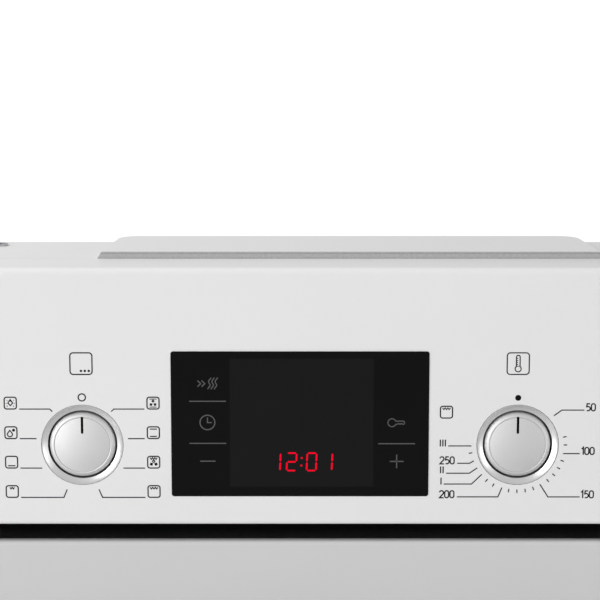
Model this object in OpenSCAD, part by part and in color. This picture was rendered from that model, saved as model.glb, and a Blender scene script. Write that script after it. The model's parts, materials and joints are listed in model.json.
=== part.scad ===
// Built-in wall oven of the 60 cm class, closed, knobs pushed in.
// +Z is up, +Y runs into the niche, +X is the user's right. The origin is on the niche floor,
// in the plane of the cabinet's front edge, at the centre of the width.

/* [Front] */
// Width of the front
front_w = 594; // [592:1:596]
// Height of the front above the niche floor
front_h = 595; // [593:1:597]
// How far the front stands out of the cabinet
front_t = 22; // [22:0.5:23]
// Height of the control panel
panel_h = 96; // [95:1:97]
// Air gap between the control panel and the door
air_gap = 6.3; // [5.5:0.1:7]
// Height of the steel strip at the top of the door
strip_h = 84; // [80:1:90]
// Gap under the door
door_lift = 8; // [8:0.5:9]

/* [Casing] */
// Width of the casing inside the niche
body_w = 556; // [554:1:558]
// Height of the casing behind the ledge
body_h = 571; // [570:1:573]
// Height of the lower rear deck
rear_h = 519; // [518:1:522]
// Where the casing steps down, behind the cabinet's front
step_y = 196; // [190:1:198]
// Depth of the casing behind the cabinet's front
body_d = 520; // [518:1:524]

/* [Cavity] */
// Width inside the oven
cavity_w = 480; // [478:1:480]
// Height inside the oven
cavity_h = 350; // [346:1:350]
// Depth of the liner
cavity_d = 416; // [414:1:416]
// Number of shelf levels
levels = 5; // [3:1:5]

/* [Controls] */
// Distance of each knob from the middle
knob_x = 80; // [78:1:84]
// Radius of a knob
knob_r = 12.2; // [12:0.1:12.2]
// Distance of the knob axes below the top edge
knob_drop = 65.7; // [64:0.1:67]
// Width of the display glass
display_w = 94.6; // [90:0.1:96]
// Height of the display glass
display_h = 54.5; // [52:0.1:55]

/* [Handle] */
// Length of the handle bar
handle_len = 540; // [500:1:560]
// How far the bar stands out of the door
handle_out = 45; // [40:1:50]

/* [Hidden] */
$fn = 64;

sheet = 1.2;
glass_t = 4;
fit = 0.05;
gap = 0.3;

// Front heights and planes
front_y = -front_t;
panel_z = front_h - panel_h;
door_top = panel_z - air_gap;
strip_z = door_top - strip_h;
ledge_y = 1.2;
ledge_end = 43;
edge_r = 2.5;
sharp_r = 1.5;

// Controls
knob_z = front_h - knob_drop;
bezel_r = 15.1;
bezel_bore = 12.6;
spindle_r = 3;
display_top = front_h - 30.6;
display_low = display_top - display_h;

// Vent cover on the ledge
vent_x0 = -75.6;
vent_x1 = 113.4;
vent_h = 2.7;
vent_r = 8;
vent_slope = 1.7;
vent_taper = 3.6;
vent_sheet = 0.5;
vent_slot = 0.45;

// Cavity and the frame in front of it
frame_y = 16;
frame_top = 493;
cav_x = cavity_w / 2;
cav_z0 = 100;
cav_z1 = cav_z0 + cavity_h;
cav_y0 = frame_y + sheet;
cav_y1 = cav_y0 + cavity_d;
cav_r = 15;
fan_z = 275;
frame_screw_x = 287.5;
frame_screw_z = [60, 440];

// Rack wires
wire_r = 2.2;
rail_x = 230;
post_x = 234;
level_z = 140;
level_step = 55;
guard_rise = 12.5;
shelf_level = 2;
shelf_wire_r = 3;

// Heating elements
tube_r = 3.25;
grill_z = 430;
lamp_y = 350;
lamp_z = 405;
probe_x = 205;
probe_z = 432;
ring_r = 86;
ring_gap = 10;
ring_end_x = ring_r * sin(ring_gap);
ring_end_z = fan_z - ring_r * cos(ring_gap);

// Door hinge
pivot_y = -12;
pivot_z = door_lift + 10;
pin_r = 2.5;
hinge_x = 261;

// Door
rail_top = door_top - 0.6;
handle_z = door_top - 46;
handle_y = front_y - handle_out;
handle_x = 235;

// Cooling fan
cool_y = 320;
cool_z = 480;

// Casing screws: places on the top, the rear deck and the back
top_screws = [[-270, 60], [270, 60], [-270, 180], [270, 180]];
deck_screws = [[-270, 212], [270, 212], [-270, 505], [270, 505]];
back_screws = [[-268, 30], [268, 30], [-268, 490], [268, 490]];
ledge_screws = [[-116, 34], [153, 34]];

// ---- Shared shapes ----

module block(x0, x1, y0, y1, z0, z1)
    translate([x0, y0, z0]) cube([x1 - x0, y1 - y0, z1 - z0]);

module rod_x(x0, x1, y, z, r)
    translate([x0, y, z]) rotate([0, 90, 0]) cylinder(h = x1 - x0, r = r);

module rod_y(x, y0, y1, z, r)
    translate([x, y0, z]) rotate([-90, 0, 0]) cylinder(h = y1 - y0, r = r);

module rod_z(x, y, z0, z1, r)
    translate([x, y, z0]) cylinder(h = z1 - z0, r = r);

// Turns a profile drawn as (radius, y) about an axis that runs along Y
module turned_y(x, z)
    translate([x, 0, z]) rotate([-90, 0, 0]) rotate_extrude() children();

// Extrudes a (y, z) section along X
module section_x(x0, x1)
    translate([x0, 0, 0]) rotate([90, 0, 90]) linear_extrude(x1 - x0) children();

// Extrudes an (x, z) outline along Y
module face_y(y0, y1)
    translate([0, y1, 0]) rotate([90, 0, 0]) linear_extrude(y1 - y0) children();

module both_sides() {
    children();
    mirror([1, 0, 0]) children();
}

module round_rect(x0, x1, y0, y1, r) {
    translate([x0 + r, y0]) square([x1 - x0 - 2 * r, y1 - y0]);
    translate([x0, y0 + r]) square([x1 - x0, y1 - y0 - 2 * r]);
    for (x = [x0 + r, x1 - r], y = [y0 + r, y1 - r]) translate([x, y]) circle(r);
}

// A rectangle whose two low-y corners are rounded, open to the back
module nose_rect(y0, y1, z0, z1, low_r, high_r) {
    r = max(low_r, high_r);
    translate([y0 + r, z0]) square([y1 - y0 - r, z1 - z0]);
    translate([y0, z0 + low_r]) square([r + 0.1, z1 - z0 - low_r - high_r]);
    for (e = [[low_r, z0 + low_r, -1], [high_r, z1 - high_r, 1]]) {
        translate([y0 + e[0], e[1]]) circle(e[0]);
        if (e[0] < r) translate([y0 + e[0], e[2] < 0 ? z0 : e[1]]) square([r - e[0] + 0.1, e[0]]);
    }
}

// A quarter bend of tube in the XY plane, from angle a, about (x, y, z)
module bend_xy(x, y, z, big, r, a, sweep)
    translate([x, y, z]) rotate([0, 0, a]) rotate_extrude(angle = sweep)
        translate([big, 0]) circle(r);

// A serpentine heating tube: rows along Y joined by half turns at alternate ends
module serpentine(x0, pitch, rows, y0, y1, z, tail_y) {
    turn = pitch / 2;
    for (i = [0 : rows - 1]) rod_y(x0 + i * pitch, y0, y1, z, tube_r);
    for (i = [0 : 2 : rows - 2])
        bend_xy(x0 + i * pitch + turn, y0, z, turn, tube_r, 180, 180);
    for (i = [1 : 2 : rows - 2])
        bend_xy(x0 + i * pitch + turn, y1, z, turn, tube_r, 0, 180);
    for (i = [0, rows - 1]) rod_y(x0 + i * pitch, y1 - 1, tail_y, z, tube_r);
}

// A pan-head screw at the origin, head up
module screw(head_r, shank_r, shank, head_h = 1.3) {
    difference() {
        cylinder(h = head_h, r = head_r);
        for (a = [0, 90]) rotate([0, 0, a])
            translate([-head_r * 0.6, -0.35, head_h * 0.4]) cube([head_r * 1.2, 0.7, 1]);
    }
    translate([0, 0, -shank]) cylinder(h = shank + 0.2, r = shank_r);
}

// ---- Control panel ----

module control_panel() color("silver") difference() {
    union() {
        section_x(-front_w / 2, front_w / 2) difference() {
            nose_rect(front_y, 1, panel_z, front_h, sharp_r, edge_r);
            nose_rect(front_y + sheet, 2, panel_z + sheet, front_h - sheet,
                      sharp_r - sheet, edge_r - sheet);
            translate([-2, panel_z - 1]) square([4, 3]);
        }
        both_sides()
            block(front_w / 2 - sheet, front_w / 2, front_y + sheet / 2, -2,
                  panel_z + sheet, front_h - sheet);
    }
    for (x = [-knob_x, knob_x]) rod_y(x, front_y - 1, front_y + 2, knob_z, bezel_r + fit);
    face_y(front_y - 1, front_y + 2)
        round_rect(-display_w / 2 - gap, display_w / 2 + gap, display_low - gap,
                   display_top + gap, 1.3);
}

module display_glass() color([0.05, 0.05, 0.06])
    face_y(front_y - gap, front_y + 2.7)
        round_rect(-display_w / 2, display_w / 2, display_low, display_top, 1);

module display_module() color("darkgreen") {
    board_y = -14;
    block(-44, 44, board_y, board_y + 1.6, display_low + 2.5, display_top - 2.5);
    block(-25.8, 26.9, front_y + 2.8, board_y, display_low + 3.6, display_top - 2.6);
    for (x = [-34, 35.4], z = [display_low + 14, display_low + 34])
        rod_y(x, front_y + 2.8, board_y, z, 4);
    block(-20, 20, board_y + 1.6, board_y + 7, display_low + 6, display_low + 13);
}

module panel_carrier() color("dimgray") {
    plate_y = 6;
    difference() {
        block(-150, 150, plate_y, plate_y + 2, 503, 563);
        for (x = [-knob_x, knob_x]) rod_y(x, plate_y - 1, plate_y + 3, knob_z, 6 + fit);
        block(-30, 30, plate_y - 1, plate_y + 3, 525, 550);
    }
    for (x = [-144, 138], z = [505, 555])
        block(x, x + 6, front_y + sheet, plate_y, z, z + 6);
    for (x = [-42, 36], z = [display_low + 3, display_top - 8])
        block(x, x + 5, -12.4, plate_y, z, z + 5);
}

module bezel(x) color("gainsboro") turned_y(x, knob_z)
    polygon([
        [bezel_bore, front_y + 1], [bezel_r - 0.5, front_y], [bezel_r, front_y],
        [bezel_r, -10], [bezel_bore, -10]
    ]);

module function_bezel() bezel(-knob_x);
module temperature_bezel() bezel(knob_x);

// The cap is hollow and slides on its spindle
module knob(x) color("gainsboro") translate([x, 0, knob_z]) rotate([-90, 0, 0])
    difference() {
        union() {
            translate([0, 0, front_y]) cylinder(h = 0.5, r1 = knob_r - 0.5, r2 = knob_r);
            translate([0, 0, front_y + 0.5]) cylinder(h = 25.5, r = knob_r);
        }
        // Thin ring line around the face
        translate([0, 0, front_y - 1]) difference() {
            cylinder(h = 1.25, r = 10.4);
            cylinder(h = 1.25, r = 10.1);
        }
        // Hollow between the skirt and the boss
        translate([0, 0, front_y + 3]) difference() {
            cylinder(h = 24, r = knob_r - 1.5);
            cylinder(h = 24, r = 5.5);
        }
        translate([0, 0, front_y + 1.5]) cylinder(h = 26, r = spindle_r + fit);
        // Pointer groove, up at rest
        translate([-0.4, -10.5, front_y - 1]) cube([0.8, 6.1, 1.3]);
    }

module function_knob() knob(-knob_x);
module temperature_knob() knob(knob_x);

module spindle(x) color("gray") difference() {
    union() {
        rod_y(x, front_y + 2, 29, knob_z, spindle_r);
        rod_y(x, 18, 22, knob_z, 10);
    }
    block(x - 4, x + 4, front_y, 4, knob_z + 2.4, knob_z + 4);
}

module function_spindle() spindle(-knob_x);
module temperature_spindle() spindle(knob_x);

module rotary_switch(x, terminals) color("ivory") {
    difference() {
        union() {
            block(x - 19, x + 19, 10, 34, knob_z - 19, knob_z + 19);
            rod_y(x, 7.5, 10.5, knob_z, 6);
        }
        rod_y(x, 7, 30, knob_z, spindle_r + fit);
        rod_y(x, 16, 24, knob_z, 12);
    }
    for (i = [0 : terminals - 1])
        block(x - 15 + 6 * i, x - 11 + 6 * i, 34, 42, knob_z - 8, knob_z - 7.2);
}

module function_switch() rotary_switch(-knob_x, 6);
module temperature_switch() rotary_switch(knob_x, 4);

// ---- Ledge behind the panel ----

module ledge_housing() color("silver") difference() {
    union() {
        block(-277, 277, ledge_y, ledge_end, front_h - 1, front_h);
        block(-277, 277, ledge_end - 1, ledge_end, body_h, front_h - 1);
        both_sides() block(276, 277, ledge_y, ledge_end - 1, body_h, front_h - 1);
    }
    block(vent_x0 + 14, vent_x1 - 14, 12, 34, front_h - 2, front_h + 1);
    for (p = ledge_screws) rod_z(p[0], p[1], front_h - 2, front_h + 1, 1.7);
}

// Outline of the vent cover: narrower towards the rear, with two round rear corners
module vent_outline(inset) {
    x0 = vent_x0 + inset;
    x1 = vent_x1 - inset;
    y1 = ledge_end - 0.5 - inset;
    hull() {
        translate([x0, ledge_y]) square([x1 - x0, 1]);
        for (x = [x0 + vent_taper + vent_r, x1 - vent_taper - vent_r])
            translate([x, y1 - vent_r]) circle(vent_r, $fn = 32);
    }
}

module vent_solid(inset, height) hull() {
    linear_extrude(0.01) vent_outline(inset);
    translate([0, 0, height - 0.01]) linear_extrude(0.01) vent_outline(inset + vent_slope);
}

// A thin pressed cover with a closed front and a fine slot under its front edge
module vent_cover() color("silver") translate([0, 0, front_h]) difference() {
    vent_solid(0, vent_h);
    translate([0, 0.8, -0.01]) intersection() {
        vent_solid(0.8, vent_h - vent_sheet);
        block(vent_x0, vent_x1, ledge_y, ledge_end - 2, 0, vent_h);
    }
    block(vent_x0 + 5, vent_x1 - 5, 0, 4, vent_h - vent_sheet - vent_slot, vent_h - vent_sheet);
}

module panel_screws() color("gray")
    for (p = ledge_screws) translate([p[0], p[1], front_h]) screw(3, 1.6, 7, 0.7);

module control_board() color("seagreen") {
    // Plastic tray, board, transformer, relays, capacitors and connectors
    block(-130, 90, 55, 175, 503, 506);
    block(-125, 85, 60, 170, 510, 511.6);
    for (x = [-122, 76], y = [62, 162]) block(x, x + 6, y, y + 6, 506, 510);
    block(-115, -75, 70, 105, 511.6, 541);
    for (i = [0 : 4]) block(-60 + 24 * i, -42 + 24 * i, 130, 145, 511.6, 527);
    for (i = [0 : 2]) rod_z(-50 + 18 * i, 85, 511.6, 531, 6);
    for (i = [0 : 5]) block(-110 + 30 * i, -90 + 30 * i, 158, 168, 511.6, 521);
    block(10, 60, 75, 105, 511.6, 525);
}

// ---- Casing ----

module chassis_base() color("lightgray") difference() {
    union() {
        block(-body_w / 2, body_w / 2, -1.5, body_d, 0, 1);
        both_sides() block(body_w / 2 - 2.2, body_w / 2 - 1.2, 20, body_d - 1.2, 1, 12);
    }
    for (x = [-180 : 60 : 180], y = [120, 320]) block(x - 20, x + 20, y, y + 6, -1, 2);
}

// Left and right sides, each with a row of air slots
module chassis_side() difference() {
    section_x(body_w / 2 - 1, body_w / 2) polygon([
        [cav_y0 + 0.2, 1], [body_d, 1], [body_d, rear_h - 1], [step_y + 1, rear_h - 1],
        [step_y + 1, body_h - 1], [ledge_y, body_h - 1], [ledge_y, panel_z],
        [cav_y0 + 0.2, panel_z]
    ]);
    for (i = [0 : 8])
        block(body_w / 2 - 2, body_w / 2 + 1, 250 + 26 * i, 266 + 26 * i, 486, 490);
}

module chassis_side_right() color("lightgray") chassis_side();
module chassis_side_left() color("lightgray") mirror([1, 0, 0]) chassis_side();

module chassis_back() color("lightgray") difference() {
    block(-body_w / 2 + 1.1, body_w / 2 - 1.1, body_d - 1, body_d, 1, rear_h - 1);
    block(189.7, 250.3, body_d - 2, body_d + 1, 439.7, 510.3);
    for (i = [0 : 11], z = [60, 80])
        block(-150 + 25 * i, -134 + 25 * i, body_d - 2, body_d + 1, z, z + 5);
    for (i = [0 : 6])
        block(-60 + 18 * i, -50 + 18 * i, body_d - 2, body_d + 1, fan_z - 20, fan_z + 20);
    for (p = back_screws) rod_y(p[0], body_d - 2, body_d + 1, p[1], 1.7);
}

module top_cover() color("lightgray") difference() {
    block(-body_w / 2, body_w / 2, ledge_end + 0.2, step_y + 1, body_h - 1, body_h);
    for (p = top_screws) rod_z(p[0], p[1], body_h - 2, body_h + 1, 1.7);
    for (i = [0 : 8]) block(-122 + 28 * i, -102 + 28 * i, 150, 154, body_h - 2, body_h + 1);
}

module rear_deck() color("lightgray") difference() {
    union() {
        block(-body_w / 2, body_w / 2, step_y + 1, body_d, rear_h - 1, rear_h);
        block(-body_w / 2 + 1.1, body_w / 2 - 1.1, step_y, step_y + 1, rear_h - 1, body_h - 1);
    }
    rod_z(0, cool_y, rear_h - 2, rear_h + 1, 43);
    for (p = deck_screws) rod_z(p[0], p[1], rear_h - 2, rear_h + 1, 1.7);
}

module chassis_screws() color("gray") {
    for (p = top_screws) translate([p[0], p[1], body_h]) screw(3.5, 1.6, 6);
    for (p = deck_screws) translate([p[0], p[1], rear_h]) screw(3.5, 1.6, 6);
    for (p = back_screws) translate([p[0], body_d, p[1]]) rotate([-90, 0, 0]) screw(3.5, 1.6, 6);
}

// ---- Cooling air ----

module air_duct() color("silver") {
    difference() {
        block(-200, 200, cav_y0 + 0.2, 236, cool_z, cool_z + 18);
        block(-199, 199, cav_y0 - 1, 237, cool_z + 1, cool_z + 17);
    }
    block(-200, 200, 2, cav_y0 + 0.2, cool_z + 17, cool_z + 18);
}

module scroll(r, z0, z1) {
    rod_z(0, cool_y, z0, z1, r);
    block(-r, r, 236.2, cool_y, z0, z1);
}

module cooling_fan_housing() color("lightgray") difference() {
    scroll(78, cool_z, rear_h - 3);
    scroll(77, cool_z + 1, rear_h - 4);
    block(-77, 77, 236, 238, cool_z + 1, cool_z + 17);
    rod_z(0, cool_y, rear_h - 5, rear_h, 42);
}

module cooling_fan() color("dimgray") {
    rod_z(0, cool_y, cool_z + 5, cool_z + 6.5, 62);
    rod_z(0, cool_y, cool_z + 5, cool_z + 16, 9);
    rod_z(0, cool_y, cool_z + 5, rear_h + 13, 2.5);
    for (i = [0 : 23]) translate([0, cool_y, 0]) rotate([0, 0, 15 * i])
        block(47, 61.5, -0.6, 0.6, cool_z + 6, cool_z + 30);
    difference() {
        rod_z(0, cool_y, cool_z + 29, cool_z + 30.5, 62);
        rod_z(0, cool_y, cool_z + 28, cool_z + 32, 46);
    }
}

module cooling_motor() color("slategray") difference() {
    union() {
        rod_z(0, cool_y, rear_h + 3, rear_h + 27, 30);
        rod_z(0, cool_y, rear_h + 1.5, rear_h + 3.5, 12);
        for (i = [0 : 2]) translate([0, cool_y, 0]) rotate([0, 0, 90 + 120 * i]) {
            block(8, 52, -5, 5, rear_h + 1.5, rear_h + 3.5);
            block(45, 52, -5, 5, rear_h, rear_h + 2);
        }
    }
    rod_z(0, cool_y, rear_h, rear_h + 16, 2.5 + fit);
}

// ---- Oven ----

module front_frame() color([0.2, 0.2, 0.22]) difference() {
    union() {
        block(-277, 277, frame_y, cav_y0, sheet, frame_top);
        both_sides() {
            block(275.8, 277, -1.5, frame_y, sheet, frame_top);
            block(275.8, 295, -1.5, 0, sheet, frame_top);
        }
    }
    face_y(frame_y - 1, cav_y0 + 1) round_rect(-cav_x, cav_x, cav_z0, cav_z1, cav_r);
    both_sides() {
        block(hinge_x - 4, hinge_x + 4, frame_y - 1, cav_y0 + 1, pivot_z - 9, pivot_z + 9);
        for (z = frame_screw_z) rod_y(frame_screw_x, -2, 1, z, 2.6);
    }
}

module cavity_liner() color([0.16, 0.17, 0.2]) difference() {
    face_y(cav_y0, cav_y1 + sheet)
        round_rect(-cav_x - sheet, cav_x + sheet, cav_z0 - sheet, cav_z1 + sheet, cav_r + sheet);
    face_y(cav_y0 - 1, cav_y1) round_rect(-cav_x, cav_x, cav_z0, cav_z1, cav_r);
    rod_x(-cav_x - 5, -cav_x + 5, lamp_y, lamp_z, 25.5);
    rod_y(0, cav_y1 - 5, cav_y1 + 5, fan_z, 6);
    for (x = [-175, 175]) rod_y(x, cav_y1 - 5, cav_y1 + 5, grill_z, tube_r + gap);
    for (x = [-1, 1]) rod_y(x * ring_end_x, cav_y1 - 5, cav_y1 + 5, ring_end_z, tube_r + 0.7);
    rod_y(probe_x, cav_y1 - 5, cav_y1 + 5, probe_z, 3 + gap);
}

module insulation() color("khaki") difference() {
    block(-272, 272, 30, 462, 60, 476);
    block(-cav_x - 1.5, cav_x + 1.5, 29, cav_y1 + 1.5, 86, cav_z1 + 1.5);
    rod_x(-273, -cav_x, lamp_y, lamp_z, 28);
    rod_y(0, cav_y1, 463, fan_z, 12);
    for (x = [-175, 175]) rod_y(x, cav_y1, 463, grill_z, 6);
    for (x = [-1, 1]) rod_y(x * ring_end_x, cav_y1, 463, ring_end_z, 6);
    for (x = [-150, 150]) rod_y(x, cav_y1, 463, 92, 6);
    rod_y(probe_x, cav_y1, 463, probe_z, 6);
}

module door_gasket() color([0.25, 0.25, 0.25]) {
    seal_r = 3.8;
    seal_y = frame_y - seal_r - 0.1;
    sx = cav_x + 8;
    z0 = cav_z0 - 8;
    z1 = cav_z1 + 8;
    for (z = [z0, z1]) rod_x(-sx + cav_r, sx - cav_r, seal_y, z, seal_r);
    for (x = [-sx, sx]) rod_z(x, seal_y, z0 + cav_r, z1 - cav_r, seal_r);
    for (c = [[sx, z1, 0], [-sx, z1, 270], [-sx, z0, 180], [sx, z0, 90]])
        translate([c[0] - sign(c[0]) * cav_r, seal_y, c[1] - sign(c[1] - fan_z) * cav_r])
            rotate([0, c[2], 0]) rotate([90, 0, 0])
                rotate_extrude(angle = 90) translate([cav_r, 0]) circle(seal_r);
}

module fan_baffle() color([0.2, 0.21, 0.24]) {
    by = 396;
    difference() {
        face_y(by, cav_y1) round_rect(-150, 150, fan_z - 125, fan_z + 125, 12);
        face_y(by + sheet, cav_y1 + 1)
            round_rect(-148.8, 148.8, fan_z - 123.8, fan_z + 123.8, 11);
        for (ring = [[20, 10], [33, 16], [46, 22], [59, 28]], i = [0 : ring[1] - 1])
            translate([ring[0] * cos(i * 360 / ring[1]), 0, ring[0] * sin(i * 360 / ring[1])])
                rod_y(0, by - 1, by + 3, fan_z, 3.6);
        for (s = [-1, 1], i = [0 : 5]) {
            block(s * 120 - 14, s * 120 + 14, by - 1, by + 3,
                  fan_z - 92 + 34 * i, fan_z - 86 + 34 * i);
        }
    }
}

module convection_fan() color("silver") {
    rod_y(0, 402, 478, fan_z, 4);
    rod_y(0, 404, 416, fan_z, 9);
    rod_y(0, 416, 417.2, fan_z, 68);
    for (i = [0 : 11]) translate([0, 0, fan_z]) rotate([0, 30 * i, 0])
        block(30, 67.5, 404, 417, -0.6, 0.6);
}

module convection_motor() color("slategray") difference() {
    union() {
        rod_y(0, 466, 502, fan_z, 36);
        block(-70, 70, 463, 466.5, fan_z - 18, fan_z + 18);
    }
    rod_y(0, 460, 481, fan_z, 4 + fit);
}

module ring_element() color("dimgray") {
    translate([0, 411, fan_z]) rotate([90, 0, 0]) rotate([0, 0, ring_gap - 90])
        rotate_extrude(angle = 360 - 2 * ring_gap, $fn = 128) translate([ring_r, 0]) circle(tube_r);
    for (x = [-1, 1]) rod_y(x * ring_end_x, 411 - tube_r, 450, ring_end_z, tube_r + 0.4);
}

module grill_element() color("dimgray") {
    serpentine(-175, 50, 8, 70, 362, grill_z, 450);
    for (y = [120, 300]) difference() {
        block(-182, 182, y, y + 2, grill_z + 2, cav_z1);
        block(-170, 170, y - 1, y + 3, grill_z + 8, cav_z1 - 2);
    }
}

module bottom_element() color("dimgray") serpentine(-150, 100, 4, 110, 350, 92, 450);

module lamp_holder() color("ivory") difference() {
    rod_x(-268, -cav_x - sheet, lamp_y, lamp_z, 25);
    rod_x(-262, -cav_x, lamp_y, lamp_z, 22);
}

module lamp_bulb() color("white") {
    rod_x(-262, -252, lamp_y, lamp_z, 8);
    rod_x(-252, -240, lamp_y, lamp_z, 6.5);
    translate([-240, lamp_y, lamp_z]) sphere(6.5);
}

module lamp_lens() color("white") difference() {
    union() {
        rod_x(-cav_x, -cav_x + 2, lamp_y, lamp_z, 29);
        rod_x(-cav_x, -cav_x + 11, lamp_y, lamp_z, 24);
    }
    rod_x(-cav_x - 1, -cav_x + 9, lamp_y, lamp_z, 21.5);
}

module temperature_probe() color("silver") {
    rod_y(probe_x, 346, 450, probe_z, 3);
    translate([probe_x, 346, probe_z]) sphere(3);
    rod_y(probe_x, cav_y1 - 2, cav_y1, probe_z, 9);
}

module rack_support() {
    z0 = level_z - 22;
    z1 = level_z + level_step * 4 + guard_rise;
    for (y = [60, 210, 360]) rod_z(post_x, y, z0, z1, wire_r);
    for (z = [z0 + 1, z1 - 1]) rod_y(post_x, 58, 362, z, 1.9);
    for (i = [0 : levels - 1]) {
        z = level_z + level_step * i;
        for (dz = [0, guard_rise]) rod_y(rail_x, 40, 387, z + dz, wire_r);
        rod_z(rail_x, 385, z, z + guard_rise, 1.8);
    }
    for (y = [60, 360], z = [z0 + 12, z1 - 20]) rod_x(post_x, cav_x, y, z, 1.7);
}

module rack_support_right() color("gainsboro") rack_support();
module rack_support_left() color("gainsboro") mirror([1, 0, 0]) rack_support();

module wire_shelf() color("gainsboro") {
    z = level_z + shelf_level * level_step + wire_r + gap + shelf_wire_r;
    sx = 227.2;
    for (x = [-sx, sx]) {
        rod_y(x, 36, 380, z, shelf_wire_r);
        for (y = [36, 380]) translate([x, y, z]) sphere(shelf_wire_r);
    }
    for (y = [36, 380]) rod_x(-sx, sx, y, z, shelf_wire_r);
    for (y = [140, 270]) rod_x(-sx, sx, y, z - 1.5, 2);
    for (i = [-7 : 7]) rod_y(28 * i, 36, 380, z + 1, 1.5);
}

module baking_tray() color([0.15, 0.15, 0.17]) {
    z = level_z + wire_r + gap;
    difference() {
        translate([0, 0, z]) linear_extrude(1.2) round_rect(-230.3, 230.3, 36, 382, 14);
        translate([0, 0, z - 1]) linear_extrude(4) round_rect(-220, 220, 47, 371, 22);
    }
    difference() {
        translate([0, 0, z - 26]) linear_extrude(27.2) round_rect(-221, 221, 46, 372, 23);
        translate([0, 0, z - 24.8]) linear_extrude(30) round_rect(-219.8, 219.8, 47.2, 370.8, 22);
    }
}

module terminal_box() color("dimgray") difference() {
    block(190, 250, 486, body_d + 6, 440, 510);
    block(193, 247, 489, body_d + 3, 443, 507);
    rod_y(220, body_d, body_d + 7, 475, 6);
}

// ---- Door ----

module door_front_strip() color("silver") difference() {
    union() {
        section_x(-front_w / 2, front_w / 2) difference() {
            nose_rect(front_y, -2.4, strip_z, door_top, edge_r, sharp_r);
            nose_rect(front_y + sheet, -1, strip_z + sheet, door_top - sheet,
                      edge_r - sheet, sharp_r - sheet);
            translate([front_y + glass_t, strip_z - 1]) square([30, 3]);
            translate([front_y + edge_r + 1, door_top - 3]) square([30, 4]);
        }
        both_sides()
            block(front_w / 2 - sheet, front_w / 2, front_y + sheet / 2, -2.4,
                  strip_z + sheet, door_top - 1.5);
    }
    for (x = [-handle_x, handle_x]) rod_y(x, front_y - 1, front_y + 2, handle_z, 2.6);
}

module door_outer_glass() color([0.05, 0.05, 0.06])
    block(-front_w / 2, front_w / 2, front_y, front_y + glass_t, door_lift, strip_z - 0.5);

module door_middle_glass() color([0.6, 0.7, 0.7], 0.5) block(-240, 240, -8, -4, 40, 440);

module door_inner_glass() color([0.6, 0.7, 0.7], 0.5) block(-262, 262, 4, 8, 32, 475);

// Stepped side profile: wide in front of the cabinet, narrow inside the front frame
module door_side() {
    top = 488;
    // Below this height the profile is cut back, so that the open door clears the front frame
    heel = pivot_z - 3;
    block(291, 292.2, -17.8, -8.6, door_lift + 0.5, heel);
    block(291, 292.2, -17.8, -2.7, heel, top);
    block(274, 291, -17.8, -16.6, door_lift + 0.5, top);
    block(271.5, 291, -3.9, -2.7, heel, top);
    block(270.3, 271.5, -3.9, 3.9, 30, top);
    block(250, 270.3, 2.7, 3.9, 30, top);
}

module door_side_right() color("dimgray") door_side();
module door_side_left() color("dimgray") mirror([1, 0, 0]) door_side();

module door_top_rail() color("dimgray") difference() {
    union() {
        block(-262, 262, -20.6, -19.4, 415, rail_top - 3);
        block(-262, 262, -19.4, -17, rail_top - 4.2, rail_top - 3);
        block(-262, 262, -18.2, -17, rail_top - 3, rail_top);
        block(-290, 290, -18.2, -3, rail_top - sheet, rail_top);
        block(-262, 262, -3, 7.5, rail_top - sheet, rail_top);
        block(-262, 262, 6.3, 7.5, 475.3, rail_top);
    }
    for (x = [-handle_x, handle_x]) rod_y(x, -22, -18, handle_z, 2.6);
    for (i = [0 : 12]) block(-234 + 36 * i, -210 + 36 * i, 3, 6, 480, 500);
}

module door_bottom_rail() color("dimgray") {
    block(-250, 250, -17.8, -16.6, 9.7, 38);
    block(-250, 250, -17.8, -3, 8.5, 9.7);
    block(-250, 250, -4.2, -3, 9.7, 30.5);
    block(-250, 250, -4.2, 8, 30.5, 31.7);
    for (x = [-200, 0, 200]) block(x - 8, x + 8, -8, -4.2, 31.7, 39.9);
}

module handle_bar() color("gainsboro")
    section_x(-handle_len / 2, handle_len / 2)
        round_rect(handle_y, handle_y + 13, handle_z - 10, handle_z + 10, 6);

module handle_posts() color("gainsboro") for (x = [-handle_x, handle_x]) {
    rod_y(x, handle_y + 13, front_y, handle_z, 7);
    rod_y(x, front_y - 2, front_y, handle_z, 9);
    rod_y(x, front_y - 1, -16, handle_z, 2.5);
    rod_y(x, -19.4, -16, handle_z, 4.5);
}

// U-shaped case in the door, riveted to its hinge pin
module hinge_cases() color("gray") both_sides() {
    for (x = [hinge_x - 8, hinge_x + 6.8]) {
        block(x, x + 1.2, -16, 2.2, pivot_z, 210);
        rod_x(x, x + 1.2, pivot_y, pivot_z, 4);
    }
    block(hinge_x - 8, hinge_x + 8, -16, -14.8, pivot_z + 9, 210);
    block(hinge_x - 8, hinge_x + 8, -16, 2.2, 208.8, 210);
    rod_x(hinge_x - 9, hinge_x + 9, pivot_y, pivot_z, pin_r);
}

// Closely wound tension spring and its pull rod
module hinge_springs() color("gray") both_sides() translate([hinge_x, -6, 0]) {
    rotate_extrude() for (i = [0 : 37]) translate([4.6, 84 + 2.5 * i]) circle(1.3, $fn = 24);
    rod_z(0, 0, 40, 196, 1.5);
    rod_z(0, 0, 179, 182, 6);
    rod_z(0, 0, 80, 83, 6);
    rod_z(0, 0, 196, 208.8, 3);
}

// Arms that hook into the casing and carry the door's pins
module hinge_arms() color("gray") both_sides() difference() {
    union() {
        rod_x(hinge_x - 2, hinge_x + 2, pivot_y, pivot_z, 5);
        block(hinge_x - 2, hinge_x + 2, pivot_y, 58, pivot_z - 5, pivot_z + 5);
        block(hinge_x - 2, hinge_x + 2, 50, 58, pivot_z - 10, pivot_z);
    }
    rod_x(hinge_x - 3, hinge_x + 3, pivot_y, pivot_z, pin_r + fit);
    rod_x(hinge_x - 3, hinge_x + 3, 42, pivot_z - 6, 3 + fit);
}

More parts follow.
